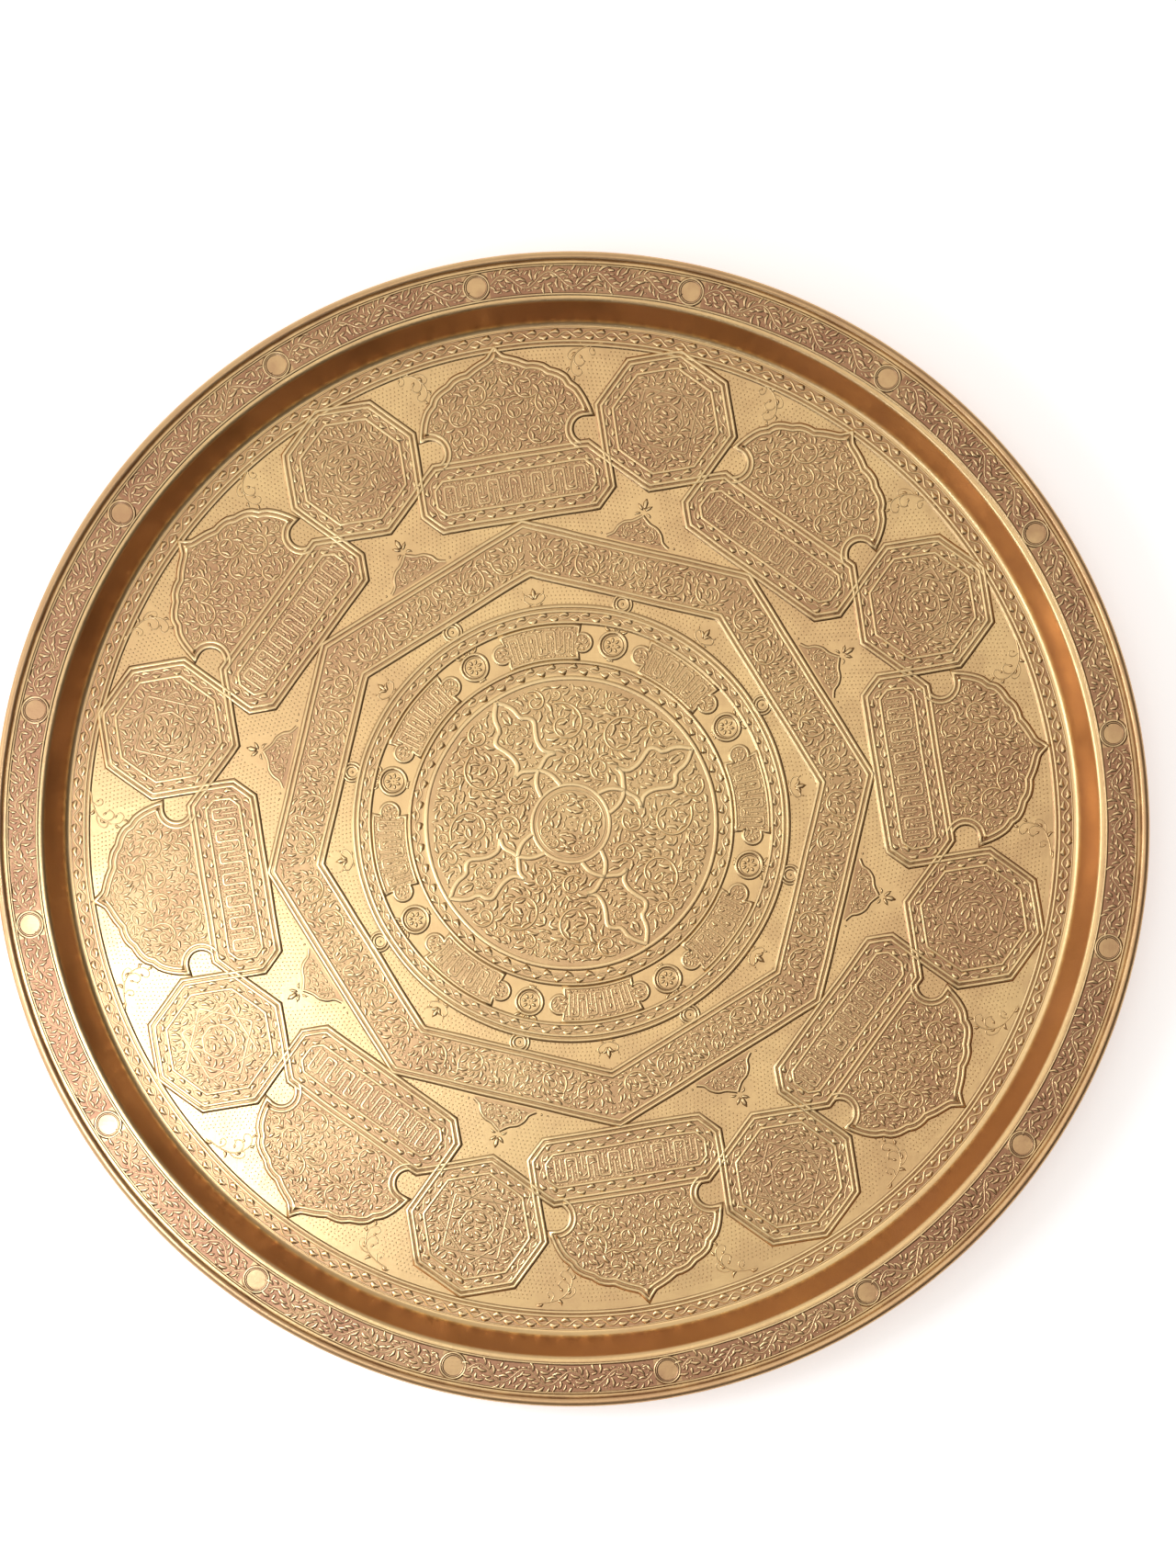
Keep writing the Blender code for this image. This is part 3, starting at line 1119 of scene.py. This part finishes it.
def brass(name, tarnish, wear_and_relief_shading, roughness):
    """Old hand-worked brass: golden where it is rubbed, pinkish brown where polish never reaches. Raised
    work also gets a painted highlight on its tops and painted shade at its feet, and the turned sheet's
    wall gets painted shade.
    """
    material, shader = new_material(name)
    graph = Graph(material.node_tree)
    place = graph.node("ShaderNodeTexCoord").out("Object")
    x, y = graph.part("X", place), graph.part("Y", place)
    away = place.sum("SQRT", x * x + y * y)
    stands = graph.node("ShaderNodeAttribute", attribute_name="stands").out("Fac")
    height = graph.ease(stands, 0.12, 0.30)

    def grain(scale, detail):
        return graph.noise(place, scale, detail, 0.55)

    def rubbed(turn, scale):
        """Fine marks along one direction."""
        along = graph.node("ShaderNodeMapping", {
            "Vector": place, "Rotation": (0.0, 0.0, turn), "Scale": scale})
        return graph.noise(along, 1.0, 2.0)

    cloud = graph.ease(grain(7.0, 4.0), 0.36, 0.66)
    patch = graph.ease(grain(46.0, 4.0), 0.38, 0.66)
    speck = graph.ease(grain(520.0, 2.0), 0.42, 0.62)
    flange = graph.between(away, *FLANGE_RING)
    roll = graph.ease(away, 0.2945, 0.2962)
    zone = 0.46 + 0.54 * graph.ease(away, 0.07, 0.19) + 0.15 * flange
    # How far the colour goes to the darker mix: real tarnish, less towards the middle and on raised tops,
    # more on the flange and by the roll; on raised work the darker mix holds painted shade as well.
    dirt_and_shade = tarnish * zone * (0.70 + 0.30 * cloud) * (1.0 - wear_and_relief_shading * height) * (0.80 + 0.20 * speck)
    more = 0.10 * patch + 0.30 * roll + flange * (0.20 + 0.20 * patch)
    dirt_and_shade = graph.node("ShaderNodeMath", {0: dirt_and_shade, 1: more}, operation="ADD", use_clamp=True)
    colour = graph.mix(cloud * 0.35 + 0.1 * patch, GOLD, WARM_GOLD)
    # Darkest at the feet of raised work: grime in the hollows plus painted shade.
    low = graph.mix(wear_and_relief_shading * (1.0 - height) * 0.80, PATINA, CREVICE_DIRT_AND_SHADE)
    colour = graph.mix(dirt_and_shade, colour, low)
    # Tops of raised work made lighter: rubbed metal plus a painted highlight.
    colour = graph.mix(wear_and_relief_shading * 0.55 * height * (1.0 - 0.4 * cloud), colour, RUBBED_AND_HIGHLIGHT)
    if name == "turned_brass":
        upward = graph.part("Z", graph.node("ShaderNodeNewGeometry").out("Normal")) > 0.0
        # Painted shade on the upward faces of the wall.
        colour = graph.mix(0.80 * graph.between(away, *WALL_SHADE_RING) * upward, colour, WALL_PAINTED_SHADE)
        seam = graph.between(away, *SEAM_RING) * (0.4 + 0.6 * patch)
        colour = graph.mix(0.75 * seam, colour, CREVICE_DIRT_AND_SHADE)
        colour = graph.mix((1.0 - upward) * (0.45 + 0.35 * patch), colour, PATINA)
    graph.feed(colour, shader["Base Color"])
    scratches = rubbed(0.5, (26.0, 900.0, 90.0)) + rubbed(-0.9, (900.0, 30.0, 90.0))
    shader["Roughness"].default_value = roughness
    if not wear_and_relief_shading:
        gloss = roughness + 0.10 * dirt_and_shade + 0.06 * patch + 0.10 * (scratches - 1.0)
        graph.feed(gloss, shader["Roughness"])
    shader["Metallic"].default_value = 1.0
    bump = grain(150.0, 3.0) * 0.5 + scratches * 0.16 + speck * 0.10
    bump = graph.node("ShaderNodeBump", {"Strength": 0.55, "Distance": 0.00022, "Height": bump})
    graph.feed(bump, shader["Normal"])
    return material


# --- making the tray ------------------------------------------------------------------------------

turned_brass = brass("turned_brass", 0.20, 0.0, 0.31)
sprig_brass = brass("sprig_brass", 0.55, 0.75, 0.36)
chased_brass = brass("chased_brass", 0.95, 0.95, 0.32)
ground_brass = brass("ground_brass", 0.80, 0.0, 0.41)
wire_brass = brass("wire_brass", 0.85, 0.0, 0.45)

shapes = bpy.data.collections.new("leaf_shapes")
for shape in leaf_shapes():
    shapes.objects.link(shape)
sections = line_sections()
ornament = raised_tree(sections, shapes)
finished("turned_sheet", turned_section(), turned_tree(), {"Finish": turned_brass})


def chased(name, pattern, copies, turn, material=chased_brass, centre=PATTERN_CENTRE,
           level=FLOOR_TOP, wobble=0.35):
    """One piece of ornament, from its pattern."""
    finished(name, pattern.mesh(name), ornament, {
        "Copies": copies, "First Turn": turn - math.pi / 2, "Hand Wobble": wobble * MM,
        "Middle": (centre[0] * MM, centre[1] * MM, level * MM), "Finish": material,
    })


def hoops(*rings):
    """Round lines, each with its radius, style and width."""
    lines = Pattern()
    for radius, style, width in rings:
        lines.line(ring(radius, steps=360 if radius > 200.0 else 240), style, True, width=width)
    return lines


dome_lines, dome_leaves, dome_plates = dome_panels()
bar_lines, bar_leaves, bar_plates = bar_panels()
octagon_lines, octagon_leaves, octagon_plates = octagon_panels()
gable_lines, gable_leaves, gable_plates = gables()
ring_lines, ring_leaves, ring_plates = ring_panels()
band_leaves, band_plates = band_panels()
cartouche_plates = dome_plates.join(bar_plates).join(ring_plates)
octagon_plates = octagon_plates.join(gable_plates).join(band_plates)
for name, pattern in (
    ("cartouche_lines", dome_lines.join(bar_lines)), ("dome_scrolls", dome_leaves),
    ("bar_leaves", bar_leaves), ("ring_panel_lines", ring_lines), ("ring_panel_leaves", ring_leaves),
):
    chased(name, pattern, 8, DOME_TURN)
chased("cartouche_ground", cartouche_plates, 8, DOME_TURN, ground_brass)
for name, pattern in (
    ("octagon_lines", octagon_lines.join(gable_lines)), ("octagon_leaves", octagon_leaves),
    ("gable_leaves", gable_leaves), ("band_scrolls", band_leaves),
):
    chased(name, pattern, 8, OCTAGON_TURN)
chased("octagon_ground", octagon_plates, 8, OCTAGON_TURN, ground_brass)
chased("spray_sprigs", sprigs(), 8, DOME_TURN, sprig_brass)
lines, scrolls, plates = medallion()
chased("medallion_lines", lines, 4, OCTAGON_TURN)
chased("medallion_scrolls", scrolls, 4, OCTAGON_TURN)
chased("medallion_ground", plates, 4, OCTAGON_TURN, ground_brass)

band_edges = Pattern()
for apothem in (146.6, 122.8):
    band_edges.line(straight(octagon(apothem), 4.0, True), DOUBLE, True)
middle_hoops = hoops((112.4, DOUBLE, 1.0), (105.4, SINGLE, 0.9), (84.3, SINGLE, 0.9), (75.8, STRAP, 0.75))
chased("middle_hoops", band_edges.join(middle_hoops), 1, DOME_TURN)
links = Pattern()
for radius in (108.3, 80.7):
    chain(links, ring(radius), 3.9, 5.6)
chased("middle_chains", links, 1, DOME_TURN)

border_hoops = hoops((254.1, DOUBLE, 0.86), (262.0, SINGLE, 0.5))
chased("border_hoops", border_hoops, 1, 0.0, centre=RIM_CENTRE, wobble=0.2)
links = Pattern()
chain(links, ring(258.6), 5.6, 6.0)
chased("border_chain", links, 1, 0.0, centre=RIM_CENTRE, wobble=0.2)
chased("border_ground", hoop_ground((255.6, 261.5)), 8, 0.0, ground_brass, RIM_CENTRE)
chased("ring_ground", hoop_ground((105.9, 110.6), (78.4, 83.2)), 8, DOME_TURN, ground_brass)

lines, scrolls, plates = flange_panels()
chased("flange_lines", lines, 16, ROUNDEL_TURN, centre=RIM_CENTRE, level=FLANGE_TOP)
chased("flange_scrolls", scrolls, 16, ROUNDEL_TURN, centre=RIM_CENTRE, level=FLANGE_TOP)
chased("flange_ground", plates, 16, ROUNDEL_TURN, ground_brass, RIM_CENTRE, FLANGE_TOP)
flange_hoops = hoops((293.2, SINGLE, 0.55), (278.0, SINGLE, 0.6))
chased("flange_hoops", flange_hoops, 1, 0.0, centre=RIM_CENTRE, level=FLANGE_TOP, wobble=0.15)
chased("ground_punches", punches(), 8, DOME_TURN, sprig_brass)

wire = frame["nodes"]["rim_wire"]
wire.data.materials.clear()
wire.data.materials.append(wire_brass)

for item in [*shapes.objects, *sections.values()]:
    bpy.data.objects.remove(item)
bpy.data.collections.remove(shapes)

# --- the studio -----------------------------------------------------------------------------------

FLOOR_REACH, FLOOR_LEVEL = 6, -0.0003


def placed(name, data, place):
    made = bpy.data.objects.new(name, data)
    made.location = place
    bpy.context.scene.collection.objects.link(made)
    return made


pale, shader = new_material("pale_floor")
for socket, value in (
    ("Base Color", (0.93, 0.92, 0.91, 1.0)), ("Roughness", 0.9),
    ("Emission Color", (1.0, 1.0, 1.0, 1.0)), ("Emission Strength", 0.55),
):
    shader[socket].default_value = value
mesh = bpy.data.meshes.new("floor")
corners = [(-1, -1), (1, -1), (1, 1), (-1, 1)]
mesh.from_pydata([(x * FLOOR_REACH, y * FLOOR_REACH, FLOOR_LEVEL) for x, y in corners], [], [(0, 1, 2, 3)])
mesh.materials.append(pale)
floor = placed("floor", mesh, (0.0, 0.0, 0.0))


def panel_light(name, place, aim, size, power, colour=(1.0, 1.0, 1.0)):
    data = bpy.data.lights.new(name, "AREA")
    data.shape = "RECTANGLE"
    data.size, data.size_y = size
    data.energy = power
    data.color = colour
    lamp = placed(name, data, place)
    lamp.rotation_euler = (Vector(aim) - Vector(place)).to_track_quat("-Z", "Y").to_euler()


panel_light("overhead", (0.0, 0.0, 1.75), (0.0, 0.0, 0.0), (1.1, 1.1), 2.95, (1.0, 0.97, 0.93))
panel_light(
    "lower_left", (-0.285, -0.165, 0.40), (-0.255, -0.140, 0.0), (0.20, 0.22), 0.85, (0.92, 1.0, 1.15)
)
panel_light("window", (-1.6, -0.2, 1.0), (0.0, 0.0, 0.0), (0.9, 0.7), 5.5)

world = bpy.data.worlds.new("studio")
world.use_nodes = True
sky = Graph(world.node_tree)
toward = sky.vector("DOT_PRODUCT", sky.node("ShaderNodeTexCoord").out("Generated"), (-0.80, 0.55, 0.10))
shade = sky.node("ShaderNodeMapRange", {
    "Value": toward.out("Value"), "From Min": -0.5, "From Max": 0.9, "To Min": 0.10, "To Max": 0.95,
}, interpolation_type="SMOOTHSTEP")
background = world.node_tree.nodes["Background"].inputs
sky.feed(sky.mix(shade, (1.0, 0.80, 0.68, 1.0), (1.0, 0.98, 0.94, 1.0)), background["Color"])
sky.feed(shade, background["Strength"])
bpy.context.scene.world = world
bpy.context.scene.view_settings.view_transform = "Standard"

# The camera looks straight down through a long lens.
LENS, SENSOR = 135.0, 36.0
FRAME_HEIGHT = 0.600 * 1707 / 1258
distance = FRAME_HEIGHT / 2 / (SENSOR / 2 / LENS)
data = bpy.data.cameras.new("camera")
data.lens, data.sensor_width = LENS, SENSOR
data.clip_start, data.clip_end = 0.05, 30.0
camera = placed("camera", data, Vector((0.0084, 0.0233, 0.0223)) + Vector((0.0, 0.0, distance)))
bpy.context.scene.camera = camera
